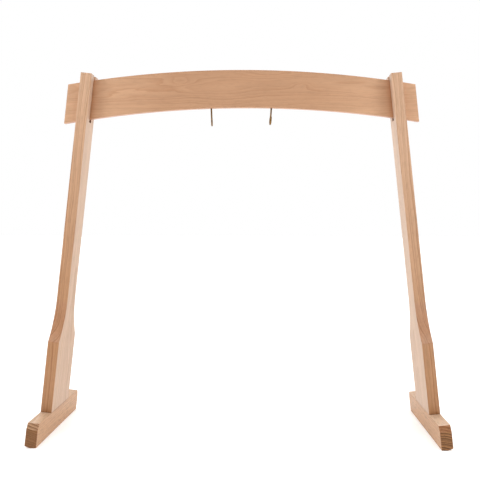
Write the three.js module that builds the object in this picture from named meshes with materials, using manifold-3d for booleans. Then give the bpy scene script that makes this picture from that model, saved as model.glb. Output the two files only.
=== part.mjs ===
// A free-standing wooden gong stand, in millimetres: +X to the right, +Y to the back, +Z up, and the origin on the
// floor, midway between the two side frames. Each side frame is a leg standing on a foot, and both lean inwards. An
// arched crossbeam drops into an open slot in the top of each leg, and two screw hooks hang under its middle.
import * as THREE from 'three';
import { mergeVertices } from 'three/addons/utils/BufferGeometryUtils.js';
import Module from 'manifold-3d';

const DEGREE = Math.PI / 180;

// Stock and stance
const BOARD = 38; // thickness of the legs and the feet
const LEAN = 5.9 * DEGREE; // both side frames lean inwards by this angle
const STANCE = 647; // from the middle of the stand to the inner bottom edge of each foot
const GAP = 0.3; // between faces that touch

// Foot: a board on edge that runs from front to back
const FOOT_LENGTH = 432;
const FOOT_HEIGHT = 76;
const SOLE_WIDTH = 20; // the strip planed level, from the inner edge outwards
const SOLE_RELIEF = 3; // height of the outer bottom edge, which is planed clear of the floor
const NOSE_DROP = 20; // the bevel at the top of both ends, downwards
const NOSE_RUN = 9.5; // and along the foot

// Leg: a board that narrows through a hollow curve
const LEG_BASE = 184; // width where it stands on the foot
const LEG_WIDTH = 89; // width of the straight upper part
const LEG_SHOULDER = 316; // the wide part ends here, measured along the leg from the floor
const COVE_END = 463; // the hollow curve runs into the straight part here
const LEG_TOP = 1248;
const SLOT_WIDTH = 20; // the open slot that holds the crossbeam

// Crossbeam: a thin board on edge, its top and its underside sawn to the same radius
const BEAM_THICKNESS = 19;
const BEAM_DEPTH = 132.5;
const BEAM_APEX = 1261; // height of the top of the arch above the floor
const ARCH_RADIUS = 3717;
const UNDERSIDE_SHIFT = 20; // the underside's arch is highest this far right of the middle
const OVERHANG = 51; // past each leg's outer face, to an end cut parallel to the leg

// Dowels and screws that hold each leg on its foot
const DOWEL_RADIUS = 5;
const DOWEL_LENGTH = 60;
const DOWEL_SPREAD = 60; // from the middle of the leg
const SCREW_SPREAD = 30;
const SCREW_LENGTH = 102;
const SCREW_RADIUS = 2.5;
const SCREW_POINT = 8;
const HEAD_RADIUS = 5;
const HEAD_HEIGHT = 4;
const COUNTERBORE_RADIUS = 6.5;
const COUNTERBORE_DEPTH = 18; // from the foot's inner bottom edge up to the seat of the screw's head

// Screw hooks
const HOOK_SPREAD = 106; // from the middle of the stand
const HOOK_WIRE = 2.85; // radius of the wire
const HOOK_THREAD = 45; // length inside the crossbeam
const HOOK_POINT = 8; // tapered end of the thread
const HOOK_LOOP = 14.3; // radius of the hook, to the middle of the wire
const HOOK_NECK = 10; // radius of the bend between the shank and the hook
const HOOK_TIP = 60 * DEGREE; // the hook's tip ends this far above the level of its middle
const HOOKS = [
  { name: 'left_hook', side: -1, drop: 63, tilt: 2.5 * DEGREE, turn: 5 * DEGREE },
  { name: 'right_hook', side: 1, drop: 60, tilt: 4 * DEGREE, turn: 6 * DEGREE },
]; // drop: reach below the crossbeam; tilt: lean of the shank, tip inwards; turn: about the shank

// Fineness of the curved faces
const ARCH_STEPS = 40;
const COVE_STEPS = 10;
const ROUND_SIDES = 20;
const WIRE_SIDES = 10;
const WIRE_STEPS = 52;

const wasm = await Module();
wasm.setup();

function material(color, roughness, metalness) {
  return new THREE.MeshStandardMaterial({ color, roughness, metalness });
}

const beamWood = material(0xc69b78, 0.55, 0);
const legWood = material(0xd2ab86, 0.55, 0);
const footWood = material(0xcda67f, 0.55, 0);
const dowelWood = material(0xd9bd94, 0.7, 0);
const brass = material(0x8a6a42, 0.35, 1);
const steel = material(0xb5b7b8, 0.35, 1);

function named(name, geometry, look) {
  const mesh = new THREE.Mesh(geometry, look);
  mesh.name = name;
  return mesh;
}

// Cutting and joining

function toSolid(geometry) {
  const plain = geometry.index ? geometry.toNonIndexed() : geometry.clone();
  plain.deleteAttribute('normal');
  plain.deleteAttribute('uv');
  const merged = mergeVertices(plain, 1e-3);
  const mesh = new wasm.Mesh({
    numProp: 3,
    vertProperties: merged.attributes.position.array,
    triVerts: new Uint32Array(merged.index.array),
  });
  return new wasm.Manifold(mesh);
}

function toGeometry(solid) {
  const { vertProperties, triVerts } = solid.getMesh();
  const geometry = new THREE.BufferGeometry();
  geometry.setAttribute('position', new THREE.BufferAttribute(vertProperties, 3));
  geometry.setIndex(new THREE.BufferAttribute(triVerts, 1));
  const faceted = geometry.toNonIndexed();
  faceted.computeVertexNormals();
  return faceted;
}

function bored(geometry, holes) {
  const solid = holes.reduce((left, hole) => left.subtract(toSolid(hole)), toSolid(geometry));
  return toGeometry(solid);
}

// Boards: a flat outline given as [across, up] points, extruded to both sides of its own plane

function board(points, thickness, uprightPlane) {
  const outline = new THREE.Shape(points.map(([across, up]) => new THREE.Vector2(across, up)));
  const flat = new THREE.ExtrudeGeometry(outline, { depth: thickness, bevelEnabled: false });
  return flat.translate(0, 0, -thickness / 2).applyMatrix4(uprightPlane);
}

const ACROSS_X = new THREE.Matrix4().makeBasis(
  new THREE.Vector3(1, 0, 0), new THREE.Vector3(0, 0, 1), new THREE.Vector3(0, -1, 0),
);
const ACROSS_Y = new THREE.Matrix4().makeBasis(
  new THREE.Vector3(0, 1, 0), new THREE.Vector3(0, 0, 1), new THREE.Vector3(1, 0, 0),
);

// The right-hand half of a symmetrical outline, from the bottom up, with its mirror image added
function mirrored(half) {
  return [...half, ...half.map(([across, up]) => [-across, up]).reverse()];
}

// The two arcs of the crossbeam

const TOP_ARC = { middle: 0, apex: BEAM_APEX };
const UNDERSIDE_ARC = { middle: UNDERSIDE_SHIFT, apex: BEAM_APEX - BEAM_DEPTH };

function arcHeight({ middle, apex }, x) {
  return apex - ARCH_RADIUS + Math.sqrt(ARCH_RADIUS ** 2 - (x - middle) ** 2);
}

// Where an arc crosses the plane that lies `outwards` from the inner face of the leg on this side
function arcMeetsLeg(arc, side, outwards) {
  const reach = STANCE * Math.cos(LEAN) + outwards;
  let x = side * STANCE;
  for (let pass = 0; pass < 8; pass += 1) {
    x = side * (reach - arcHeight(arc, x) * Math.sin(LEAN)) / Math.cos(LEAN);
  }
  return { x, z: arcHeight(arc, x) };
}

// Side frame. Its own axes: x outwards through the board, from the inner face; y to the back; z up along the leg.

function roundBar(radius, low, high, y) {
  const cylinder = new THREE.CylinderGeometry(radius, radius, high - low, ROUND_SIDES);
  return cylinder.rotateX(Math.PI / 2).translate(BOARD / 2, y, (low + high) / 2);
}

function jointHoles() {
  const holes = [];
  for (const end of [-1, 1]) {
    const reach = DOWEL_LENGTH / 2 + GAP;
    const screwEnd = COUNTERBORE_DEPTH + SCREW_LENGTH + GAP;
    holes.push(roundBar(DOWEL_RADIUS + GAP, FOOT_HEIGHT - reach, FOOT_HEIGHT + reach, end * DOWEL_SPREAD));
    holes.push(roundBar(SCREW_RADIUS + GAP, 0, screwEnd, end * SCREW_SPREAD));
    holes.push(roundBar(COUNTERBORE_RADIUS, -BOARD, COUNTERBORE_DEPTH, end * SCREW_SPREAD));
  }
  return holes;
}

function foot() {
  const section = [
    [0, 0],
    [SOLE_WIDTH * Math.cos(LEAN), -SOLE_WIDTH * Math.sin(LEAN)],
    [BOARD, SOLE_RELIEF],
    [BOARD, FOOT_HEIGHT],
    [0, FOOT_HEIGHT],
  ];
  const end = FOOT_LENGTH / 2;
  const side = mirrored([
    [end, -BOARD],
    [end, FOOT_HEIGHT - NOSE_DROP],
    [end - NOSE_RUN, FOOT_HEIGHT],
  ]);
  const bar = toSolid(board(section, FOOT_LENGTH, ACROSS_X));
  const profile = toSolid(board(side, 3 * BOARD, ACROSS_Y));
  return bored(toGeometry(bar.intersect(profile)), jointHoles());
}

// The hollow curve: an arc that runs tangentially into the straight part and meets the wide part at a corner
function cove() {
  const step = (LEG_BASE - LEG_WIDTH) / 2;
  const rise = COVE_END - LEG_SHOULDER;
  const radius = (step ** 2 + rise ** 2) / (2 * step);
  const sweep = Math.asin(rise / radius);
  return Array.from({ length: COVE_STEPS + 1 }, (_, i) => {
    const angle = sweep * (1 - i / COVE_STEPS);
    return [LEG_WIDTH / 2 + radius * (1 - Math.cos(angle)), COVE_END - radius * Math.sin(angle)];
  });
}

function leg(side) {
  const rest = arcMeetsLeg(UNDERSIDE_ARC, side, BOARD); // the crossbeam bears on the outer edge of the slot's floor
  const slotFloor = (STANCE - Math.abs(rest.x)) * Math.sin(LEAN) + rest.z * Math.cos(LEAN) - GAP;
  const outline = mirrored([
    [LEG_BASE / 2, FOOT_HEIGHT + GAP],
    ...cove(),
    [LEG_WIDTH / 2, LEG_TOP],
    [SLOT_WIDTH / 2, LEG_TOP],
    [SLOT_WIDTH / 2, slotFloor],
  ]);
  return bored(board(outline, BOARD, ACROSS_Y).translate(BOARD / 2, 0, 0), jointHoles());
}

function dowel(y) {
  return roundBar(DOWEL_RADIUS, FOOT_HEIGHT - DOWEL_LENGTH / 2, FOOT_HEIGHT + DOWEL_LENGTH / 2, y);
}

// A countersunk head up against its seat, a plain shank and a point
function screw(y) {
  const seat = COUNTERBORE_DEPTH - GAP;
  const tip = seat + SCREW_LENGTH;
  const profile = [
    [0, seat - HEAD_HEIGHT],
    [HEAD_RADIUS, seat - HEAD_HEIGHT],
    [HEAD_RADIUS, seat - HEAD_HEIGHT + 1],
    [SCREW_RADIUS, seat],
    [SCREW_RADIUS, tip - SCREW_POINT],
    [0, tip],
  ];
  const turned = new THREE.LatheGeometry(profile.map(([radius, up]) => new THREE.Vector2(radius, up)), ROUND_SIDES);
  return turned.rotateX(Math.PI / 2).translate(BOARD / 2, y, 0);
}

function sideFrame(name, side) {
  const frame = new THREE.Group();
  frame.add(named(`${name}_foot`, foot(), footWood));
  frame.add(named(`${name}_leg`, leg(side), legWood));
  for (const [place, end] of [['front', -1], ['rear', 1]]) {
    frame.add(named(`${name}_dowel_${place}`, dowel(end * DOWEL_SPREAD), dowelWood));
    frame.add(named(`${name}_screw_${place}`, screw(end * SCREW_SPREAD), steel));
  }
  frame.rotation.y = -LEAN;
  frame.position.x = STANCE;
  const placed = new THREE.Group();
  placed.add(frame);
  placed.scale.x = side; // the left side frame is a mirror image of the right one
  return placed;
}

// Screw hook. Its own axes: z up along the shank, from where it enters the crossbeam; the hook lies in y and z.

class HookWire extends THREE.Curve {
  constructor(drop) {
    super();
    this.middle = HOOK_LOOP + HOOK_WIRE - drop; // height of the hook's middle
    this.neck = this.middle + Math.sqrt((HOOK_NECK + HOOK_LOOP) ** 2 - HOOK_NECK ** 2);
    this.bend = Math.acos(HOOK_NECK / (HOOK_NECK + HOOK_LOOP)); // the neck turns off the shank by this angle
    this.shankLength = HOOK_THREAD - HOOK_POINT - this.neck;
    this.neckLength = HOOK_NECK * this.bend;
    this.loopLength = HOOK_LOOP * (this.bend + Math.PI + HOOK_TIP);
  }

  getPoint(t, target = new THREE.Vector3()) {
    const along = t * (this.shankLength + this.neckLength + this.loopLength);
    if (along < this.shankLength) {
      return target.set(0, 0, HOOK_THREAD - HOOK_POINT - along);
    }
    if (along < this.shankLength + this.neckLength) {
      const angle = (along - this.shankLength) / HOOK_NECK;
      return target.set(0, HOOK_NECK * (1 - Math.cos(angle)), this.neck - HOOK_NECK * Math.sin(angle));
    }
    const angle = this.bend - (along - this.shankLength - this.neckLength) / HOOK_LOOP;
    return target.set(0, HOOK_LOOP * Math.cos(angle), this.middle + HOOK_LOOP * Math.sin(angle));
  }
}

function hook(drop) {
  const rim = Array.from({ length: WIRE_SIDES }, (_, i) => {
    const angle = 2 * Math.PI * i / WIRE_SIDES;
    return new THREE.Vector2(HOOK_WIRE * Math.cos(angle), HOOK_WIRE * Math.sin(angle));
  });
  const wire = new THREE.ExtrudeGeometry(new THREE.Shape(rim), {
    steps: WIRE_STEPS,
    extrudePath: new HookWire(drop),
  });
  const point = new THREE.CylinderGeometry(HOOK_WIRE / 4, HOOK_WIRE, HOOK_POINT + GAP, WIRE_SIDES);
  point.rotateX(Math.PI / 2).translate(0, 0, HOOK_THREAD - (HOOK_POINT + GAP) / 2);
  return toGeometry(toSolid(wire).add(toSolid(point)));
}

// The place of a hook's own axes on the stand
function hookPlace({ side, tilt, turn }) {
  const place = new THREE.Group();
  place.rotation.set(0, side * tilt, turn, 'YZX');
  place.position.set(side * HOOK_SPREAD, 0, arcHeight(UNDERSIDE_ARC, side * HOOK_SPREAD));
  place.updateMatrix();
  return place;
}

function pilotHole(place) {
  const length = HOOK_THREAD + GAP;
  const hole = new THREE.CylinderGeometry(HOOK_WIRE + GAP, HOOK_WIRE + GAP, 2 * length, ROUND_SIDES);
  return hole.rotateX(Math.PI / 2).applyMatrix4(place.matrix);
}

function crossbeam() {
  const edge = (arc) => {
    const [left, right] = [-1, 1].map((side) => arcMeetsLeg(arc, side, BOARD + OVERHANG).x);
    return Array.from({ length: ARCH_STEPS + 1 }, (_, i) => {
      const x = left + (right - left) * i / ARCH_STEPS;
      return [x, arcHeight(arc, x)];
    });
  };
  const outline = [...edge(UNDERSIDE_ARC), ...edge(TOP_ARC).reverse()];
  return bored(board(outline, BEAM_THICKNESS, ACROSS_X), HOOKS.map((each) => pilotHole(hookPlace(each))));
}

const stand = new THREE.Group();
stand.add(sideFrame('left', -1));
stand.add(sideFrame('right', 1));
stand.add(named('crossbeam', crossbeam(), beamWood));
for (const each of HOOKS) {
  const place = hookPlace(each);
  place.add(named(each.name, hook(each.drop), brass));
  stand.add(place);
}

export default stand;
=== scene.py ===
"""A free-standing wooden gong stand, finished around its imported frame. Metres, +X right, +Y back, +Z up."""
import math

import bmesh
import bpy
from mathutils import Matrix, Vector


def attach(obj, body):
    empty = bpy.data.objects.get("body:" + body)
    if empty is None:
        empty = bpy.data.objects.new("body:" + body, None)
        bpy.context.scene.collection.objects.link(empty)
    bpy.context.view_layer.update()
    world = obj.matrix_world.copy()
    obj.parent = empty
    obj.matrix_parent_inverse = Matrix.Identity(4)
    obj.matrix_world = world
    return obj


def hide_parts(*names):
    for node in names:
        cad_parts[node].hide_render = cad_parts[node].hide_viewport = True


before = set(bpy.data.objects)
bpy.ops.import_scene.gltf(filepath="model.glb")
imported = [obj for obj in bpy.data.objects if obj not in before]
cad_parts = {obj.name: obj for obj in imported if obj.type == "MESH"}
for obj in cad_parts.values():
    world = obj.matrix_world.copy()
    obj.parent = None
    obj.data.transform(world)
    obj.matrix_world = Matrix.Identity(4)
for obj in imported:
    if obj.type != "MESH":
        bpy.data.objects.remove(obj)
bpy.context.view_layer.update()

# Driving dimensions, as in the CAD model

# Stock and stance
BOARD = 0.038  # thickness of the legs and the feet
LEAN = math.radians(5.9)  # both side frames lean inwards by this angle
STANCE = 0.647  # from the middle of the stand to the inner bottom edge of each foot
GAP = 0.0003  # between faces that touch

# Foot
FOOT_LENGTH = 0.432
FOOT_HEIGHT = 0.076
SOLE_WIDTH = 0.020  # the strip planed level, from the inner edge outwards
SOLE_RELIEF = 0.003  # height of the outer bottom edge
NOSE_DROP = 0.020  # the bevel at the top of both ends, downwards
NOSE_RUN = 0.0095  # and along the foot

# Leg
LEG_BASE = 0.184  # width where it stands on the foot
LEG_WIDTH = 0.089  # width of the straight upper part
LEG_SHOULDER = 0.316  # the wide part ends here, measured along the leg from the floor
COVE_END = 0.463  # the hollow curve runs into the straight part here
LEG_TOP = 1.248
SLOT_WIDTH = 0.020  # the open slot that holds the crossbeam

# Crossbeam
BEAM_THICKNESS = 0.019
BEAM_DEPTH = 0.1325
BEAM_APEX = 1.261  # height of the top of the arch above the floor
ARCH_RADIUS = 3.717
UNDERSIDE_SHIFT = 0.020  # the underside's arch is highest this far right of the middle
OVERHANG = 0.051  # past each leg's outer face

# Dowels and screws that hold each leg on its foot
DOWEL_RADIUS = 0.005
DOWEL_LENGTH = 0.060
DOWEL_SPREAD = 0.060  # from the middle of the leg
SCREW_SPREAD = 0.030
SCREW_LENGTH = 0.102
SCREW_RADIUS = 0.0025
SCREW_POINT = 0.008
HEAD_RADIUS = 0.005
HEAD_HEIGHT = 0.004
COUNTERBORE_RADIUS = 0.0065
COUNTERBORE_DEPTH = 0.018  # from the foot's inner bottom edge up to the seat of the screw's head

# Screw hooks
HOOK_SPREAD = 0.106  # from the middle of the stand
HOOK_WIRE = 0.00285  # radius of the wire
HOOK_THREAD = 0.045  # length inside the crossbeam
HOOK_POINT = 0.008  # tapered end of the thread
HOOK_LOOP = 0.0143  # radius of the hook, to the middle of the wire
HOOK_NECK = 0.010  # radius of the bend between the shank and the hook
HOOK_TIP = math.radians(60)  # the hook's tip ends this far above the level of its middle
HOOKS = [
    {"name": "left_hook", "side": -1, "drop": 0.063, "tilt": math.radians(2.5), "turn": math.radians(5)},
    {"name": "right_hook", "side": 1, "drop": 0.060, "tilt": math.radians(4), "turn": math.radians(6)},
]  # drop: reach below the crossbeam; tilt: lean of the shank, tip inwards; turn: about the shank

# Finish of the shapes, which the CAD model leaves out
EASED_EDGE = 0.0012  # radius of the sanded edges of the boards
EASED_ANGLE = math.radians(12)  # edges that turn by less stay as they are
EDGE_ROWS = 3
CREASE = math.radians(35)  # edges that turn by more are shaded sharp
ARCH_STEPS = 120
COVE_STEPS = 24
HOLE_SIDES = 48
WIRE_SIDES = 32
WIRE_STEPS = 96
TIP_STEPS = 8  # on the rounded tip of a hook
HOOK_PITCH = 0.0024
HOOK_THREAD_DEPTH = 0.0007
SCREW_PITCH = 0.0022
SCREW_THREAD_DEPTH = 0.0008
SCREW_PLAIN = 0.035  # length of the screw's plain shank below its thread
THREAD_FLANK = 1.25  # steepness of a thread's flanks: above 1 leaves a flat root
THREAD_STEP = 0.0004  # distance between the rings of a threaded surface
HEAD_RIM = ((0.0, 0.0004), (0.0003, 0.0001), (0.0006, 0.0), (0.001, 0.0))  # (height, what the radius lacks)
DOWEL_FLUTES = 16
DOWEL_FLUTE_DEPTH = 0.00035
DOWEL_CHAMFER = 0.001
RECESS_ARM = 0.0027  # half the span of the cross in a screw's head
RECESS_WEB = 0.0006  # half the thickness of its arms
RECESS_DEPTH = 0.0024
RECESS_TAPER = ((-1, 1.3), (1, 0.6))  # (height in depths, size) of the cutter's two ends

NAMES = {-1: "left", 1: "right"}

# Camera: angles in radians, shift in widths of the frame
CAMERA_PLACE = (0.0848, -2.2339, 0.7242)
CAMERA_YAW = 0.0111
CAMERA_PITCH = 0.0025
CAMERA_ROLL = 0.00185
LENS = 47.46
SHIFT = (-0.0377, -0.0399)

# Light
FRONT_GLOW = 0.04  # of the white room on the camera's side
BACK_GLOW = 1.0  # and behind the stand
GLOW_TURN = 0.6  # it changes from one to the other as a direction's y goes from minus this to this
TABLE_GLOW = 0.22  # of the lit table that the stand stands on
FLOOR_REACH = 30.0
FLOOR_DROP = 0.0004  # keeps the table clear of the feet
CEILING_ANGLE = math.radians(70)
CEILING_STRENGTH = 1.92
HIGH_SOFTBOX = {"place": (0.1, -2.0, 2.6), "target": (0.0, 0.0, 1.2), "size": (2.4, 0.8), "power": 4.0}
SIDE_SOFTBOX = {"place": (2.4, -1.3, 2.1), "target": (0.0, 0.0, 0.9), "size": (0.8, 1.0), "power": 25.5}


def make_camera():
    data = bpy.data.cameras.new("camera")
    data.lens = LENS
    data.shift_x, data.shift_y = SHIFT
    camera = bpy.data.objects.new("camera", data)
    bpy.context.scene.collection.objects.link(camera)
    bpy.context.scene.camera = camera
    level = math.cos(CAMERA_PITCH)
    forward = Vector((-math.sin(CAMERA_YAW) * level, math.cos(CAMERA_YAW) * level, math.sin(CAMERA_PITCH)))
    aim = forward.to_track_quat("-Z", "Y").to_matrix().to_4x4()
    camera.matrix_world = Matrix.Translation(CAMERA_PLACE) @ aim @ Matrix.Rotation(CAMERA_ROLL, 4, "Z")


# Mesh building

def new_object(name, bm):
    bmesh.ops.recalc_face_normals(bm, faces=bm.faces)
    mesh = bpy.data.meshes.new(name)
    bm.to_mesh(mesh)
    bm.free()
    obj = bpy.data.objects.new(name, mesh)
    bpy.context.scene.collection.objects.link(obj)
    return obj


def prism(outline, depth):
    """A board: a flat outline of 3D points, carried along the vector depth."""
    bm = bmesh.new()
    near = [bm.verts.new(point) for point in outline]
    far = [bm.verts.new(Vector(point) + Vector(depth)) for point in outline]
    bm.faces.new(near)
    bm.faces.new(list(reversed(far)))
    for i in range(len(near)):
        j = (i + 1) % len(near)
        bm.faces.new((near[j], near[i], far[i], far[j]))
    bmesh.ops.recalc_face_normals(bm, faces=bm.faces)
    return bm


def ease(bm, glued=None):
    """Rounds the outward edges, apart from those whose two ends satisfy glued."""
    def sanded(edge):
        joined = glued is not None and all(glued(vert.co) for vert in edge.verts)
        return edge.is_convex and edge.calc_face_angle(0) > EASED_ANGLE and not joined

    bmesh.ops.bevel(
        bm,
        geom=[edge for edge in bm.edges if sanded(edge)],
        offset=EASED_EDGE,
        segments=EDGE_ROWS,
        profile=0.5,
        affect="EDGES",
    )
    return bm


def ring(centre, across, up, radius, sides):
    """Points round a centre. radius is a function of the angle from across towards up."""
    angles = [2 * math.pi * i / sides for i in range(sides)]
    return [centre + (across * math.cos(a) + up * math.sin(a)) * radius(a) for a in angles]


def loft(rings):
    """A closed surface through rings of points, with a flat cap at both ends."""
    bm = bmesh.new()
    rows = [[bm.verts.new(point) for point in points] for points in rings]
    for low, high in zip(rows, rows[1:]):
        for i in range(len(low)):
            j = (i + 1) % len(low)
            bm.faces.new((low[i], low[j], high[j], high[i]))
    bm.faces.new(list(reversed(rows[0])))
    bm.faces.new(rows[-1])
    return bm


def turned(profile, sides):
    """A solid turned about the Z axis. profile is a list of (height, radius or function of the angle)."""
    rings = []
    for height, radius in profile:
        reach = radius if callable(radius) else lambda angle, constant=radius: constant
        rings.append(ring(Vector((0, 0, height)), Vector((1, 0, 0)), Vector((0, 1, 0)), reach, sides))
    return loft(rings)


def thread(radius, depth, pitch, height):
    """Radius of a thread at this height, as a function of the angle."""
    def reach(angle):
        turn = (height / pitch - angle / (2 * math.pi)) % 1
        return radius - depth * min(1, THREAD_FLANK * abs(2 * turn - 1))

    return reach


def bore(obj, cutters):
    """Cuts the closed meshes of cutters out of obj."""
    for cutter in cutters:
        cut = obj.modifiers.new("hole", "BOOLEAN")
        cut.operation = "DIFFERENCE"
        cut.solver = "EXACT"
        cut.object = cutter
    depsgraph = bpy.context.evaluated_depsgraph_get()
    mesh = bpy.data.meshes.new_from_object(obj.evaluated_get(depsgraph))
    obj.modifiers.clear()
    obj.data = mesh
    for cutter in cutters:
        bpy.data.objects.remove(cutter)


def finish_piece(obj, place, body, node, material):
    """Puts the piece in its place, shades it, ties it to its CAD body and hides the CAD part that it stands
    for.
    """
    obj.data.transform(place)
    for polygon in obj.data.polygons:
        polygon.use_smooth = True
    obj.data.set_sharp_from_angle(angle=CREASE)
    weighted = obj.modifiers.new("flat_faces", "WEIGHTED_NORMAL")
    weighted.keep_sharp = True
    obj.data.materials.clear()
    obj.data.materials.append(material)
    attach(obj, body)
    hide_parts(node)
    return obj


# Node trees

def srgb(red, green, blue):
    """An 8-bit display colour as a linear RGBA colour."""
    def linear(value):
        share = value / 255
        return share / 12.92 if share <= 0.04045 else ((share + 0.055) / 1.055) ** 2.4

    return (linear(red), linear(green), linear(blue), 1.0)


class Tree:
    """A material's node tree. Each method adds a node and returns its output socket."""

    def __init__(self, name):
        self.material = bpy.data.materials.new(name)
        self.material.use_nodes = True
        self.tree = self.material.node_tree
        self.shader = self.tree.nodes["Principled BSDF"]

    def add(self, kind, inputs, output=0, **settings):
        node = self.tree.nodes.new(kind)
        for key, value in settings.items():
            setattr(node, key, value)
        for key, value in inputs.items():
            self.feed(node.inputs[key], value)
        return node.outputs[output]

    def feed(self, socket, value):
        if isinstance(value, bpy.types.NodeSocket):
            self.tree.links.new(value, socket)
        else:
            socket.default_value = value

    def shade(self, **inputs):
        """Feeds the shader's sockets, such as base_color for Base Color."""
        for key, value in inputs.items():
            self.feed(self.shader.inputs[key.replace("_", " ").title()], value)

    def math(self, operation, a, b=0.0, c=0.0):
        return self.add("ShaderNodeMath", {0: a, 1: b, 2: c}, operation=operation)

    def board_place(self, board):
        """The shaded point in the axes of a board, whose place in the stand is the matrix board."""
        inputs = {
            "Vector": self.add("ShaderNodeTexCoord", {}, output="Object"),
            "Location": board.to_translation(),
            "Rotation": board.to_euler(),
        }
        return self.add("ShaderNodeMapping", inputs, vector_type="TEXTURE")

    def split(self, vector):
        """The three numbers of a vector."""
        node = self.tree.nodes.new("ShaderNodeSeparateXYZ")
        self.feed(node.inputs[0], vector)
        return list(node.outputs)

    def product(self, *values):
        total = values[0]
        for value in values[1:]:
            total = self.math("MULTIPLY", total, value)
        return total

    def scale(self, vector, factors):
        return self.add("ShaderNodeVectorMath", {0: vector, 1: factors}, operation="MULTIPLY")

    def shift(self, vector, offset):
        return self.add("ShaderNodeVectorMath", {0: vector, 1: offset}, operation="ADD")

    def noise(self, vector, scale, detail=2.0, roughness=0.5):
        inputs = {"Vector": vector, "Scale": scale, "Detail": detail, "Roughness": roughness}
        return self.add("ShaderNodeTexNoise", inputs, output="Fac")

    def range(self, value, low, high, to_low=0.0, to_high=1.0):
        """The value carried from low..high to to_low..to_high, and held at both ends."""
        inputs = {"Value": value, "From Min": low, "From Max": high, "To Min": to_low, "To Max": to_high}
        return self.add("ShaderNodeMapRange", inputs, output="Result")

    def mix(self, factor, a, b, blend="MIX"):
        node = self.tree.nodes.new("ShaderNodeMix")
        node.data_type = "RGBA"
        node.blend_type = blend
        self.feed(node.inputs[0], factor)
        self.feed(node.inputs[6], a)
        self.feed(node.inputs[7], b)
        return node.outputs[2]

    def facing(self, board, axis):
        """How squarely the surface faces along an axis of the board, from 0 to 1."""
        normal = self.add("ShaderNodeTexCoord", {}, output="Normal")
        direction = board.to_3x3() @ Vector([axis == each for each in "xyz"])
        inputs = {0: normal, 1: direction}
        along = self.add("ShaderNodeVectorMath", inputs, output="Value", operation="DOT_PRODUCT")
        return self.math("ABSOLUTE", along)

    def bump(self, height, strength, distance):
        return self.add("ShaderNodeBump", {"Height": height, "Strength": strength, "Distance": distance})


# Wood: growth rings round a pith that lies outside the board, seen wherever the board's faces cut them

AXES = {
    "x": ("Y", "Z", "X"),
    "y": ("X", "Z", "Y"),
    "z": ("X", "Y", "Z"),
}  # grain direction: the two axes across the grain, and the one along it
BOARD_CUT = {
    "edge": "z",  # axis through the board's narrow edges
    "late_power": 2.4,  # how late in its year the wood darkens
    "weakest": 0.35,  # least strength of a year's late wood
    "wander": 9.0,  # millimetres that the rings stray from true circles
    "ripple": 0.6,  # and that they ripple across the board
    "streaks": 0.05,  # strength of the long streaks
    "flecks": 0.0,  # strength of the short dark flecks
    "gloss": 0.5,  # specular level of the oiled surface
    "eyes": (),  # places of swirls in the grain, in metres along and across the board
}
SEED_STRIDES = (311, 173, 97)  # millimetres from the noise of one seed to that of the next
TREE_TAPER = 0.012  # growth of a ring's radius along the board
EYE_SIZE = (38.0, 13.0)  # millimetres along and across the grain
EYE_BEND = 9.0  # millimetres that the rings bend round an eye
YEAR_NOISE = 0.45  # scale of the noise that makes the years unequal, in waves to a year
YEAR_DRIFT = 1.6  # years that it moves a ring by
YEAR_END = 0.9  # share of its year at which the late wood breaks off

# Noise drawn out along the grain: its factor along it, scale in waves to the millimetre, detail and roughness
WANDER = (0.16, 0.014, 2.0, 0.5)
RIPPLE = (0.16, 0.055, 3.0, 0.5)
FIBRE = (0.022, 1.3, 4.0, 0.6)
STREAK = (0.03, 0.12, 3.0, 0.65)
PATCH = (0.25, 0.02, 2.0, 0.5)
FLECK = (0.2, 0.18, 2.0, 0.7)
MOST = (0.25, 0.75)  # most of a noise's values lie between these
NEARLY_ALL = (0.2, 0.8)
FLECKED = (0.50, 0.66)  # flecks come in above the first of these
FIBRE_TONE = 0.045  # the fibres and the patches vary the tone by these shares
PATCH_TONE = 0.05
FADE_BLUR = 0.1  # metres that the patches shift the change of tone along the board

# How squarely a surface faces along an axis of its board, where a finish starts and where it is complete
EDGE_FACING = (0.5, 0.9)
SLANT_FACING = (0.02, 0.08)
BEVEL_FACING = (0.6, 0.85)
END_FACING = (0.93, 0.985)
SLANTED = (0.97, 0.96, 1.05, 1.0)  # tint of a surface that runs out a little across the fibres

SATIN = (0.34, 0.46)  # roughness of the oiled wood
FIBRE_RELIEF = 0.6  # shares of the fibres and of the late wood in the relief
LATE_RELIEF = 0.25
RELIEF_STRENGTH = 0.35
RELIEF_HEIGHT = 0.0004


def drawn_out(tree, seeded, kind):
    """One of the kinds of noise above. seeded is in millimetres, with the grain along its third axis."""
    squeeze, scale, detail, roughness = kind
    return tree.noise(tree.scale(seeded, (1.0, 1.0, squeeze)), scale, detail, roughness)


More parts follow.
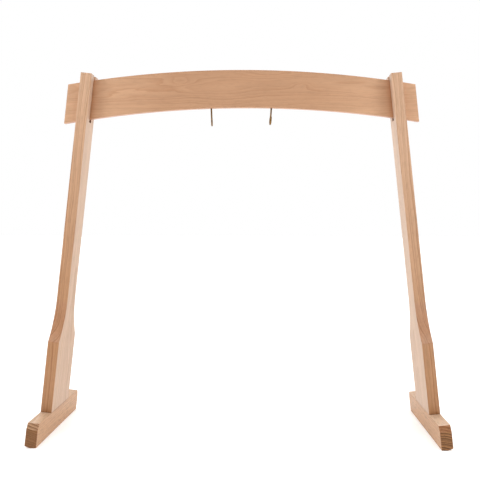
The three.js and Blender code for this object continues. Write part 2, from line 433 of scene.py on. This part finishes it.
def ring_radius(tree, millimetres, seeded, cut):
    """Distance from the pith in millimetres. The rings stray from circles, and the tree tapers."""
    def stray(place, kind, reach):
        return tree.range(drawn_out(tree, place, kind), *MOST, -reach, reach)

    bend_across = stray(seeded, WANDER, cut["wander"])
    bend_up = stray(tree.shift(seeded, (500, 0, 0)), WANDER, cut["wander"])
    waves = stray(seeded, RIPPLE, cut["ripple"])
    pith_across, pith_up = (1000 * place for place in cut["pith"])
    across, up, along = tree.split(tree.shift(millimetres, (-pith_across, -pith_up, 0)))
    far_across = tree.math("ADD", tree.math("ADD", across, bend_across), waves)
    far_up = tree.math("ADD", up, bend_up)
    squares = tree.math("ADD", tree.math("POWER", far_across, 2), tree.math("POWER", far_up, 2))
    radius = tree.math("ADD", tree.math("SQRT", squares), tree.math("MULTIPLY", along, TREE_TAPER))
    length, height = EYE_SIZE
    for eye_along, eye_up in cut["eyes"]:
        from_eye = tree.shift(millimetres, (0, -1000 * eye_up, -1000 * eye_along))
        steps = tree.scale(from_eye, (0, 1 / height, 1 / length))
        away = tree.add("ShaderNodeVectorMath", {0: steps}, output="Value", operation="LENGTH")
        bend = tree.math("POWER", 1 / math.e, tree.math("POWER", away, 2))
        radius = tree.math("ADD", radius, tree.math("MULTIPLY", bend, EYE_BEND))
    return radius


def late_wood(tree, radius, cut):
    """Share of dark late wood, in years of unequal width and strength."""
    years = tree.math("DIVIDE", radius, 1000 * cut["ring_width"])
    inputs = {"W": years, "Scale": YEAR_NOISE, "Detail": 1.0}
    uneven = tree.add("ShaderNodeTexNoise", inputs, noise_dimensions="1D")
    years = tree.math("ADD", years, tree.math("MULTIPLY", uneven, YEAR_DRIFT))
    season = tree.math("FRACT", years)
    rise = tree.math("POWER", season, cut["late_power"])
    fall = tree.range(season, YEAR_END, 1.0, 1.0, 0.0)
    year = tree.math("FLOOR", years)
    chance = tree.add("ShaderNodeTexWhiteNoise", {"W": year}, output="Value", noise_dimensions="1D")
    return tree.product(rise, fall, tree.range(chance, 0, 1, cut["weakest"], 1.0))


def unevenness(tree, seeded, fibre, patch, cut):
    """A grey that varies the tone by the fibres, long streaks, broad patches and short flecks."""
    streaks, flecks = cut["streaks"], cut["flecks"]
    tone = tree.product(
        tree.range(fibre, *MOST, 1 - FIBRE_TONE, 1 + FIBRE_TONE),
        tree.range(drawn_out(tree, seeded, STREAK), *MOST, 1 - streaks, 1 + streaks),
        tree.range(patch, *NEARLY_ALL, 1 - PATCH_TONE, 1 + PATCH_TONE),
        tree.range(drawn_out(tree, seeded, FLECK), *FLECKED, 1.0, 1 - flecks),
    )
    return tree.add("ShaderNodeCombineColor", {0: tone, 1: tone, 2: tone})


def long_grain(tree, board, tones, cut, reach, late_share):
    """Colour along the grain, with its own tones on the narrow edges and a change of tone with reach."""
    length = tree.range(reach, *tones["fade"])
    on_edge = tree.range(tree.facing(board, cut["edge"]), *EDGE_FACING)
    face_tone = tree.mix(length, tones["face_low"], tones["face_high"])
    edge_tone = tree.mix(length, tones["edge_low"], tones["edge_high"])
    early = tree.mix(on_edge, face_tone, edge_tone)
    late_tint = tree.mix(on_edge, tones["late"], tones.get("edge_late", tones["late"]))
    late = tree.mix(1.0, early, late_tint, blend="MULTIPLY")
    return tree.mix(late_share, early, late)


def cross_grain(tree, board, tones, cut, colour, late_share):
    """The colour, changed where the grain is cut across: it drinks more oil and shows its rings harder."""
    facing = tree.facing(board, cut["grain"])
    slanted = tree.mix(1.0, colour, SLANTED, blend="MULTIPLY")
    colour = tree.mix(tree.range(facing, *SLANT_FACING), colour, slanted)
    for part, span in (("bevel", BEVEL_FACING), ("end", END_FACING)):
        cut_tone = tree.mix(late_share, tones[f"{part}_early"], tones[f"{part}_late"])
        colour = tree.mix(tree.range(facing, *span), colour, cut_tone)
    return colour


def wood(name, board, tones, cut, marks=None):
    """Solid wood in the axes of its board.

    cut adds to BOARD_CUT the grain's axis, the pith's place on the two axes across it, the ring_width and a
    seed, with lengths in metres. marks is a function that returns the share of dark marks and painted shade.
    """
    cut = {**BOARD_CUT, **cut}
    tree = Tree(name)
    place = dict(zip("XYZ", tree.split(tree.board_place(board))))
    across, up, along = (place[axis] for axis in AXES[cut["grain"]])
    metres = tree.add("ShaderNodeCombineXYZ", {0: across, 1: up, 2: along})
    millimetres = tree.scale(metres, (1000, 1000, 1000))
    seeded = tree.shift(millimetres, [cut["seed"] * stride for stride in SEED_STRIDES])
    late_share = late_wood(tree, ring_radius(tree, millimetres, seeded, cut), cut)
    fibre = drawn_out(tree, seeded, FIBRE)
    patch = drawn_out(tree, seeded, PATCH)

    reach = tree.math("ADD", tree.math("ABSOLUTE", along), tree.range(patch, 0, 1, -FADE_BLUR, FADE_BLUR))
    colour = long_grain(tree, board, tones, cut, reach, late_share)
    colour = cross_grain(tree, board, tones, cut, colour, late_share)
    colour = tree.mix(1.0, colour, unevenness(tree, seeded, fibre, patch, cut), blend="MULTIPLY")
    # dark marks and painted shade laid over the wood's colour
    if marks is not None:
        colour = tree.mix(marks(tree, across, up, along), colour, tones["shade_and_mark"])

    relief = tree.math("MULTIPLY", fibre, FIBRE_RELIEF)
    relief = tree.math("ADD", relief, tree.math("MULTIPLY", late_share, LATE_RELIEF))
    tree.shade(
        base_color=colour,
        roughness=tree.range(fibre, *NEARLY_ALL, *SATIN),
        normal=tree.bump(relief, RELIEF_STRENGTH, RELIEF_HEIGHT),
    )
    tree.shader.inputs["Specular IOR Level"].default_value = cut["gloss"]
    return tree.material


# Plating
CLOUD_SCALE = 140.0  # waves to the metre
MARK_SCALE = 900.0
STAINED = (0.4, 0.75)  # the stains come in between these values of the clouds
STAIN_SHARE = 0.6
SMOOTHER = 0.06  # the marks take this off the roughness, or add that
DULLER = 0.1


def metal(name, colour, stain, roughness):
    """Plated metal with cloudy stains and faint handling marks."""
    tree = Tree(name)
    place = tree.add("ShaderNodeTexCoord", {}, output="Object")
    cloud = tree.noise(place, CLOUD_SCALE, detail=3.0)
    marks = tree.noise(place, MARK_SCALE, detail=3.0, roughness=0.7)
    tree.shade(
        base_color=tree.mix(tree.range(cloud, *STAINED, 0.0, STAIN_SHARE), colour, stain),
        roughness=tree.range(marks, 0.3, 0.7, roughness - SMOOTHER, roughness + DULLER),
        normal=tree.bump(marks, 0.1, 0.0002),
    )
    tree.shader.inputs["Metallic"].default_value = 1.0
    return tree.material


# Tones of the woods. Along the grain they go from low to high between the two distances of fade, in metres
# from the origin of the board's axes, and late and edge_late are factors on them in the late wood. bevel and
# end are the tones where the grain is cut across, and shade_and_mark is that of the dark marks and painted
# shade.

BEAM_TONES = {
    "face_low": srgb(193, 149, 116),
    "face_high": srgb(216, 173, 139),
    "edge_low": srgb(191, 144, 110),
    "edge_high": srgb(206, 162, 130),
    "late": (0.82, 0.73, 0.65, 1.0),
    "bevel_early": srgb(190, 146, 108),
    "bevel_late": srgb(150, 104, 70),
    "end_early": srgb(182, 136, 98),
    "end_late": srgb(120, 78, 48),
    # painted shade in the corners by the legs' cheeks
    "shade_and_mark": srgb(146, 76, 8),
    "fade": (0.25, 0.68),
}
# Along each leg the tones lighten upwards. On the front and back edges this is partly painted light from
# above, the rest the boards' own tone.
LEG_TONES = {
    "face_low": srgb(192, 156, 126),
    "face_high": srgb(210, 180, 156),
    "edge_low": srgb(184, 135, 94),
    "edge_high": srgb(211, 173, 143),
    "late": (0.78, 0.66, 0.55, 1.0),
    "edge_late": (0.60, 0.44, 0.32, 1.0),
    "bevel_early": srgb(200, 156, 118),
    "bevel_late": srgb(160, 112, 76),
    "end_early": srgb(190, 146, 108),
    "end_late": srgb(110, 70, 42),
    # the glue line, and the painted shade in and beside the slot
    "shade_and_mark": srgb(88, 40, 8),
}
# By side, -1 for the left side frame and 1 for the right one, which are cut from different boards
LEG_FADES = {-1: (0.30, 1.25), 1: (0.15, 1.00)}
# The paler tone of the feet's top faces is a painted sheen; their gloss is kept low.
FOOT_TONES = {
    "face_low": srgb(197, 154, 116),
    "face_high": srgb(197, 154, 116),
    "edge_low": srgb(204, 174, 148),
    "edge_high": srgb(204, 174, 148),
    "late": (0.80, 0.70, 0.60, 1.0),
    "fade": (0.0, 0.2),
}
FOOT_ENDS = {
    -1: {
        "bevel_early": srgb(202, 158, 122),
        "bevel_late": srgb(76, 38, 12),
        "end_early": srgb(147, 103, 66),
        "end_late": srgb(120, 78, 46),
    },
    1: {
        "bevel_early": srgb(178, 130, 94),
        "bevel_late": srgb(122, 72, 40),
        "end_early": srgb(180, 128, 82),
        "end_late": srgb(52, 20, 5),
    },
}
FOOT_PITHS = {-1: (-0.050, -0.11), 1: (-0.025, -0.12)}
DOWEL_TONES = {
    "face_low": srgb(222, 194, 156),
    "face_high": srgb(226, 198, 160),
    "edge_low": srgb(222, 194, 156),
    "edge_high": srgb(226, 198, 160),
    "late": (0.90, 0.85, 0.78, 1.0),
    "bevel_early": srgb(214, 184, 144),
    "bevel_late": srgb(196, 160, 118),
    "end_early": srgb(206, 172, 130),
    "end_late": srgb(160, 120, 80),
    "fade": (0.0, 0.1),
}
BEAM_EYES = [(-0.215, 1.222), (0.206, 1.205)]  # (x, z)

# Dark marks and painted shade. A share is how strongly each covers the wood, and distances are in metres.
CORNER_SHARE = 0.62
CORNER_FADE = 0.015  # the corner's painted shade fades to about a third in this distance along the crossbeam
CORNER_IN_SLOT = 0.15  # part of it that goes on inside the slot
CORNER_MOUTH = 0.004  # depth in which it drops to that
CORNER_END = 0.002  # and the last part of the slot, in which it ends
# Painted shade in the bottom of each leg's slot, round the gap under the crossbeam
SLOT_SHADE_SHARE = 0.8
SLOT_SHADE_DEPTH = (0.0003, 0.0009)  # into the slot's walls
SLOT_SHADE_BELOW = (0.0012, 0.0004)  # it comes in between these depths below the slot's floor
SLOT_SHADE_RISE = (0.008, 0.030)  # and fades between these heights above it
# Painted shade on the front cheek beside the slot, warmed as if by light bounced off the crossbeam
CHEEK_SHADE_SHARE = 0.2
CHEEK_SHADE_WIDTH = (0.002, 0.022)  # beside the slot, on the leg's front half
GLUE_SHARE = 0.6
GLUE_HEIGHT = (0.0008, 0.0024)  # above the foot


def corner_shade(tree, across, up, along):
    """Painted shade on the crossbeam: a dark, warm contact shadow in the corner where it leaves each leg's
    slot.
    """
    lean_in = tree.math("MULTIPLY", tree.math("ABSOLUTE", along), math.cos(LEAN))
    reach = tree.math("ADD", lean_in, tree.math("MULTIPLY", up, math.sin(LEAN)))
    mouth = STANCE * math.cos(LEAN)
    inside = tree.math("MAXIMUM", tree.math("SUBTRACT", mouth, reach), 0.0)
    fading = tree.math("POWER", 1 / math.e, tree.math("DIVIDE", inside, CORNER_FADE))
    in_slot = tree.range(reach, mouth, mouth + CORNER_MOUTH, 1.0, CORNER_IN_SLOT)
    beyond = tree.range(reach, mouth + BOARD - CORNER_END, mouth + BOARD, 1.0, 0.0)
    return tree.product(fading, CORNER_SHARE, in_slot, beyond)


def slot_and_joint(floor):
    """Marks of a leg: painted shade in the bottom of its slot, painted shade beside the slot on the front
    cheek, and the glue line on its foot.
    """
    def share(tree, across, up, along):
        from_slot = tree.math("SUBTRACT", tree.math("ABSOLUTE", up), SLOT_WIDTH / 2)
        from_floor = tree.math("SUBTRACT", along, floor)
        above = tree.range(from_floor, *(-below for below in SLOT_SHADE_BELOW))
        wall = tree.range(from_slot, *SLOT_SHADE_DEPTH, SLOT_SHADE_SHARE, 0.0)
        # painted shade low in the slot
        slot_shade = tree.product(wall, above, tree.range(from_floor, *SLOT_SHADE_RISE, 1.0, 0.0))
        # painted shade on the front cheek beside the slot
        beside = tree.range(from_slot, *CHEEK_SHADE_WIDTH, CHEEK_SHADE_SHARE, 0.0)
        cheek_shade = tree.product(beside, above, tree.range(up, 0.0, -0.001))
        glue = tree.range(tree.math("SUBTRACT", along, FOOT_HEIGHT), *GLUE_HEIGHT, GLUE_SHARE, 0.0)
        return tree.math("MAXIMUM", tree.math("MAXIMUM", slot_shade, cheek_shade), glue)

    return share


def beam_wood():
    cut = {
        "grain": "x",
        "edge": "z",
        "pith": (0.055, 1.205),
        "seed": 1,
        "ring_width": 0.0055,
        "wander": 10.0,
        "ripple": 1.8,
        "flecks": 0.06,
        "gloss": 0.38,
        "eyes": BEAM_EYES,
    }
    return wood("beam_wood", Matrix.Identity(4), BEAM_TONES, cut, corner_shade)


def leg_wood(side):
    cut = {
        "grain": "z",
        "edge": "y",
        "pith": (side * 0.12, 0.01),
        "seed": 5 + side,
        "ring_width": 0.0075,
        "late_power": 1.8,
        "streaks": 0.09,
        "flecks": 0.10,
        "gloss": 0.38,
    }
    tones = {**LEG_TONES, "fade": LEG_FADES[side]}
    marks = slot_and_joint(slot_floor(side))
    return wood(f"{NAMES[side]}_leg_wood", side_place(side), tones, cut, marks)


def foot_wood(side):
    cut = {
        "grain": "y",
        "edge": "z",
        "pith": FOOT_PITHS[side],
        "seed": 11 + side,
        "ring_width": 0.0088,
        "late_power": 0.8,
        "weakest": 0.85,
        "wander": 3.0,
        "flecks": 0.24,
        "gloss": 0.2,
    }
    tones = {**FOOT_TONES, **FOOT_ENDS[side]}
    return wood(f"{NAMES[side]}_foot_wood", side_place(side), tones, cut)


def dowel_wood():
    cut = {"grain": "z", "edge": "y", "pith": (0.03, 0.02), "seed": 17, "ring_width": 0.0025, "wander": 1.0}
    return wood("dowel_wood", Matrix.Identity(4), DOWEL_TONES, cut)


# The two arcs of the crossbeam

TOP_ARC = (0.0, BEAM_APEX)
UNDERSIDE_ARC = (UNDERSIDE_SHIFT, BEAM_APEX - BEAM_DEPTH)


def arc_height(arc, x):
    middle, apex = arc
    return apex - ARCH_RADIUS + math.sqrt(ARCH_RADIUS ** 2 - (x - middle) ** 2)


def arc_meets_leg(arc, side, outwards):
    """Where an arc crosses the plane that lies outwards from the inner face of the leg on this side."""
    reach = STANCE * math.cos(LEAN) + outwards
    x = side * STANCE
    for _ in range(8):
        x = side * (reach - arc_height(arc, x) * math.sin(LEAN)) / math.cos(LEAN)
    return x


# Side frames, in their own axes: x to the right, y to the back and z up the leg, with its inner face at x = 0

def side_place(side):
    return Matrix.Translation((side * STANCE, 0, 0)) @ Matrix.Rotation(-side * LEAN, 4, "Y")


def mirrored(half):
    """The rear half of a symmetrical outline of (y, z) points, from the bottom up, with its mirror image."""
    return half + [(-y, z) for y, z in reversed(half)]


def hole(side, y, profile):
    """A cutter up the middle of a side frame's board."""
    cutter = new_object("cutter", turned(profile, HOLE_SIDES))
    cutter.location = (side * BOARD / 2, y, 0)
    return cutter


def joint_holes(side):
    """Cutters for the dowels and for the counterbored screws of one side frame."""
    reach = DOWEL_LENGTH / 2 + GAP
    dowel = [(FOOT_HEIGHT - reach, DOWEL_RADIUS + GAP), (FOOT_HEIGHT + reach, DOWEL_RADIUS + GAP)]
    screw = [
        (-BOARD, COUNTERBORE_RADIUS),
        (COUNTERBORE_DEPTH, COUNTERBORE_RADIUS),
        (COUNTERBORE_DEPTH, SCREW_RADIUS + GAP),
        (COUNTERBORE_DEPTH + SCREW_LENGTH + GAP, SCREW_RADIUS + GAP),
    ]
    holes = []
    for end in (-1, 1):
        holes.append(hole(side, end * DOWEL_SPREAD, dowel))
        holes.append(hole(side, end * SCREW_SPREAD, screw))
    return holes


def cut_nose(bm, end):
    """Planes the bevel off the top of one end of a foot."""
    corner = Vector((0, end * FOOT_LENGTH / 2, FOOT_HEIGHT - NOSE_DROP))
    slope = Vector((0, end * NOSE_DROP, NOSE_RUN))
    everything = bm.verts[:] + bm.edges[:] + bm.faces[:]
    cut = bmesh.ops.bisect_plane(bm, geom=everything, plane_co=corner, plane_no=slope, clear_outer=True)
    rim = [item for item in cut["geom_cut"] if isinstance(item, bmesh.types.BMEdge)]
    bmesh.ops.contextual_create(bm, geom=rim)


def make_foot(side):
    section = [
        (0, 0),
        (SOLE_WIDTH * math.cos(LEAN), -SOLE_WIDTH * math.sin(LEAN)),
        (BOARD, SOLE_RELIEF),
        (BOARD, FOOT_HEIGHT),
        (0, FOOT_HEIGHT),
    ]
    bm = prism([(side * x, -FOOT_LENGTH / 2, z) for x, z in section], (0, FOOT_LENGTH, 0))
    for end in (-1, 1):
        cut_nose(bm, end)
    bmesh.ops.recalc_face_normals(bm, faces=bm.faces)
    return new_object(f"{NAMES[side]}_foot_board", ease(bm))


def cove():
    """The hollow curve, from the corner of the leg's wide part up to where it runs into the straight part."""
    step = (LEG_BASE - LEG_WIDTH) / 2
    rise = COVE_END - LEG_SHOULDER
    radius = (step ** 2 + rise ** 2) / (2 * step)
    sweep = math.asin(rise / radius)
    angles = [sweep * (1 - i / COVE_STEPS) for i in range(COVE_STEPS + 1)]
    return [(LEG_WIDTH / 2 + radius * (1 - math.cos(a)), COVE_END - radius * math.sin(a)) for a in angles]


def slot_floor(side):
    """The crossbeam bears on the outer edge of the slot's floor."""
    rest = arc_meets_leg(UNDERSIDE_ARC, side, BOARD)
    down = (STANCE - abs(rest)) * math.sin(LEAN)
    return down + arc_height(UNDERSIDE_ARC, rest) * math.cos(LEAN) - GAP


def make_leg(side):
    outline = mirrored([
        (LEG_BASE / 2, FOOT_HEIGHT + GAP),
        *cove(),
        (LEG_WIDTH / 2, LEG_TOP),
        (SLOT_WIDTH / 2, LEG_TOP),
        (SLOT_WIDTH / 2, slot_floor(side)),
    ])
    bm = prism([(0, y, z) for y, z in outline], (side * BOARD, 0, 0))
    return new_object(f"{NAMES[side]}_leg_board", ease(bm, glued=lambda co: co.z < FOOT_HEIGHT + 2 * GAP))


def make_dowel(name):
    """A fluted dowel with chamfered ends."""
    def fluted(angle):
        return DOWEL_RADIUS - DOWEL_FLUTE_DEPTH * (0.5 - 0.5 * math.cos(DOWEL_FLUTES * angle)) ** 2

    half = DOWEL_LENGTH / 2
    profile = [
        (-half, DOWEL_RADIUS - DOWEL_CHAMFER),
        (DOWEL_CHAMFER - half, fluted),
        (half - DOWEL_CHAMFER, fluted),
        (half, DOWEL_RADIUS - DOWEL_CHAMFER),
    ]
    return new_object(name, turned(profile, 8 * DOWEL_FLUTES))


def cross_recess(base):
    """Cutter for the cross in a screw's head, narrowing upwards."""
    arm, web = RECESS_ARM, RECESS_WEB
    corner = [(arm, -web), (arm, web), (web, web)]
    plus = []
    for quarter in range(4):
        turn = Matrix.Rotation(quarter * math.pi / 2, 3, "Z")
        plus += [turn @ Vector((x, y, 0)) for x, y in corner]
    rings = []
    for depths, size in RECESS_TAPER:
        rings.append([Vector((p.x * size, p.y * size, base + depths * RECESS_DEPTH)) for p in plus])
    return new_object("cutter", loft(rings))


def make_screw(name):
    """A wood screw, head down, with its seat at the top of the counterbore."""
    seat = COUNTERBORE_DEPTH - GAP
    tip = seat + SCREW_LENGTH
    head = seat - HEAD_HEIGHT
    profile = [(head + height, HEAD_RADIUS - lack) for height, lack in HEAD_RIM]
    profile += [(seat, SCREW_RADIUS), (seat + SCREW_PLAIN, SCREW_RADIUS)]
    profile.append((seat + SCREW_PLAIN + 0.001, SCREW_RADIUS - SCREW_THREAD_DEPTH))
    start = seat + SCREW_PLAIN + 0.002
    for i in range(int((tip - start) / THREAD_STEP)):
        height = start + i * THREAD_STEP
        taper = min(1, (tip - height) / SCREW_POINT)
        radius, depth = SCREW_RADIUS * taper, SCREW_THREAD_DEPTH * taper
        profile.append((height, thread(radius, depth, SCREW_PITCH, height)))
    profile.append((tip, 0.0001))
    screw = new_object(name, turned(profile, WIRE_SIDES))
    bore(screw, [cross_recess(head)])
    return screw


# Screw hooks, in their own axes: z up the shank from the crossbeam's underside, with the hook in y and z

def hook_place(hook):
    x = hook["side"] * HOOK_SPREAD
    tilt = Matrix.Rotation(hook["side"] * hook["tilt"], 4, "Y")
    turn = Matrix.Rotation(hook["turn"], 4, "Z")
    return Matrix.Translation((x, 0, arc_height(UNDERSIDE_ARC, x))) @ tilt @ turn


def hook_bends(drop):
    """Heights of the hook's middle and of the start of its neck, and the angle by which the neck bends."""
    middle = HOOK_LOOP + HOOK_WIRE - drop
    neck = middle + math.sqrt((HOOK_NECK + HOOK_LOOP) ** 2 - HOOK_NECK ** 2)
    return middle, neck, math.acos(HOOK_NECK / (HOOK_NECK + HOOK_LOOP))


def wire_point(along, drop):
    """(place, direction) on the middle line of the wire, this far along it from the crossbeam's underside."""
    middle, neck, bend = hook_bends(drop)
    if along < -neck:
        return Vector((0, 0, -along)), Vector((0, 0, -1))
    past = along + neck
    if past < HOOK_NECK * bend:
        angle = past / HOOK_NECK
        place = Vector((0, HOOK_NECK * (1 - math.cos(angle)), neck - HOOK_NECK * math.sin(angle)))
    else:
        angle = bend - (past - HOOK_NECK * bend) / HOOK_LOOP
        place = Vector((0, HOOK_LOOP * math.cos(angle), middle + HOOK_LOOP * math.sin(angle)))
    return place, Vector((0, math.sin(angle), -math.cos(angle)))


def wire_length(drop):
    """Length of the wire from the crossbeam's underside to the end of the hook."""
    _, neck, bend = hook_bends(drop)
    return -neck + HOOK_NECK * bend + HOOK_LOOP * (bend + math.pi + HOOK_TIP)


def make_hook(hook):
    """One piece of wire: a thread with a gimlet point, a plain shank, the open hook and a rounded tip."""
    drop = hook["drop"]
    across = Vector((1, 0, 0))
    rings = []

    def add(place, direction, radius):
        rings.append(ring(place, across, direction.cross(across), radius, WIRE_SIDES))

    down = Vector((0, 0, -1))
    add(Vector((0, 0, HOOK_THREAD)), down, lambda angle: 0.0002)
    steps = int((HOOK_THREAD - HOOK_PITCH) / THREAD_STEP)
    for i in range(1, steps):
        height = HOOK_THREAD - i * THREAD_STEP
        taper = min(1, 0.2 + (HOOK_THREAD - height) / HOOK_POINT)
        radius, depth = HOOK_WIRE * taper, HOOK_THREAD_DEPTH * taper
        add(Vector((0, 0, height)), down, thread(radius, depth, HOOK_PITCH, height))
    end = wire_length(drop) - HOOK_WIRE
    for i in range(WIRE_STEPS + 1):
        place, direction = wire_point(end * i / WIRE_STEPS, drop)
        add(place, direction, lambda angle: HOOK_WIRE)
    for i in range(1, TIP_STEPS):
        angle = i * math.pi / (2 * TIP_STEPS)
        forward = HOOK_WIRE * math.sin(angle)
        reach = HOOK_WIRE * math.cos(angle)
        add(place + direction * forward, direction, lambda _, reach=reach: reach)
    return new_object(f"{hook['name']}_wire", loft(rings))


def make_crossbeam():
    outline = []
    for arc, order in ((UNDERSIDE_ARC, 1), (TOP_ARC, -1)):
        left, right = (arc_meets_leg(arc, side, BOARD + OVERHANG) for side in (-1, 1))
        xs = [left + (right - left) * i / ARCH_STEPS for i in range(ARCH_STEPS + 1)][::order]
        outline += [(x, -BEAM_THICKNESS / 2, arc_height(arc, x)) for x in xs]
    beam = new_object("arched_crossbeam", ease(prism(outline, (0, BEAM_THICKNESS, 0))))
    length = HOOK_THREAD + GAP
    cutters = []
    for hook in HOOKS:
        profile = [(-length, HOOK_WIRE + GAP), (length, HOOK_WIRE + GAP)]
        cutter = new_object("cutter", turned(profile, HOLE_SIDES))
        cutter.matrix_world = hook_place(hook)
        cutters.append(cutter)
    bore(beam, cutters)
    return beam


def make_side_frame(side, pale, steel):
    place = side_place(side)
    name = NAMES[side]
    foot = make_foot(side)
    bore(foot, joint_holes(side))
    finish_piece(foot, place, "side_frames", f"{name}_foot", foot_wood(side))
    leg = make_leg(side)
    bore(leg, joint_holes(side))
    finish_piece(leg, place, "side_frames", f"{name}_leg", leg_wood(side))
    for end_name, end in (("front", -1), ("rear", 1)):
        at_dowel = Matrix.Translation((side * BOARD / 2, end * DOWEL_SPREAD, FOOT_HEIGHT))
        dowel = make_dowel(f"{name}_{end_name}_fluted_dowel")
        finish_piece(dowel, place @ at_dowel, "side_frames", f"{name}_dowel_{end_name}", pale)
        at_screw = Matrix.Translation((side * BOARD / 2, end * SCREW_SPREAD, 0))
        screw = make_screw(f"{name}_{end_name}_wood_screw")
        finish_piece(screw, place @ at_screw, "side_frames", f"{name}_screw_{end_name}", steel)


def make_stand():
    pale = dowel_wood()
    steel = metal("zinc_plate", srgb(190, 192, 194), srgb(150, 150, 148), 0.32)
    brass = metal("brass_plate", srgb(130, 98, 57), srgb(84, 58, 28), 0.32)
    for side in (-1, 1):
        make_side_frame(side, pale, steel)
    finish_piece(make_crossbeam(), Matrix.Identity(4), "crossbeam", "crossbeam", beam_wood())
    for hook in HOOKS:
        finish_piece(make_hook(hook), hook_place(hook), hook["name"], hook["name"], brass)


# Studio

def make_floor():
    bm = bmesh.new()
    corners = [(-1, -1), (1, -1), (1, 1), (-1, 1)]
    bm.faces.new([bm.verts.new((x * FLOOR_REACH, y * FLOOR_REACH, -FLOOR_DROP)) for x, y in corners])
    floor = new_object("studio_floor", bm)
    tree = Tree("white_paper")
    place = tree.add("ShaderNodeTexCoord", {}, output="Object")
    tree.shade(
        base_color=srgb(248, 248, 248),
        roughness=tree.range(tree.noise(place, 3.0), 0, 1, 0.8, 0.95),
        emission_color=(1, 1, 1, 1),
        emission_strength=TABLE_GLOW,
    )
    floor.data.materials.append(tree.material)


def make_world():
    """A white studio, dimmer on the side where the camera stands. The camera sees it plain white."""
    world = bpy.data.worlds.new("studio")
    world.use_nodes = True
    nodes, links = world.node_tree.nodes, world.node_tree.links
    direction = nodes.new("ShaderNodeTexCoord")
    axes = nodes.new("ShaderNodeSeparateXYZ")
    links.new(direction.outputs["Generated"], axes.inputs[0])
    depth = nodes.new("ShaderNodeMapRange")
    depth.inputs["From Min"].default_value = -GLOW_TURN
    depth.inputs["From Max"].default_value = GLOW_TURN
    depth.inputs["To Min"].default_value = FRONT_GLOW
    depth.inputs["To Max"].default_value = BACK_GLOW
    links.new(axes.outputs["Y"], depth.inputs["Value"])
    seen = nodes.new("ShaderNodeLightPath")
    choose = nodes.new("ShaderNodeMix")
    links.new(seen.outputs["Is Camera Ray"], choose.inputs[0])
    links.new(depth.outputs["Result"], choose.inputs[2])
    choose.inputs[3].default_value = 1.0
    links.new(choose.outputs[0], nodes["Background"].inputs["Strength"])
    nodes["Background"].inputs["Color"].default_value = (1, 1, 1, 1)
    bpy.context.scene.world = world


def softbox(name, place, target, size, power):
    """A rectangular light of this power in watts, aimed from its place at its target."""
    data = bpy.data.lights.new(name, "AREA")
    data.shape = "RECTANGLE"
    data.size, data.size_y = size
    data.energy = power
    light = bpy.data.objects.new(name, data)
    bpy.context.scene.collection.objects.link(light)
    light.location = place
    light.visible_camera = False
    light.rotation_mode = "QUATERNION"
    light.rotation_quaternion = (Vector(target) - Vector(place)).to_track_quat("-Z", "Y")


def ceiling():
    """Even light from above."""
    data = bpy.data.lights.new("ceiling", "SUN")
    data.angle = CEILING_ANGLE
    data.energy = CEILING_STRENGTH
    light = bpy.data.objects.new("ceiling", data)
    bpy.context.scene.collection.objects.link(light)


def make_studio():
    make_floor()
    make_world()
    ceiling()
    softbox("high_front", **HIGH_SOFTBOX)
    x, y, z = SIDE_SOFTBOX["place"]
    for side in (-1, 1):
        softbox(f"{NAMES[side]}_front", **{**SIDE_SOFTBOX, "place": (side * x, y, z)})
    bpy.context.scene.view_settings.view_transform = "Standard"  # white paper stays white


make_camera()
make_stand()
make_studio()
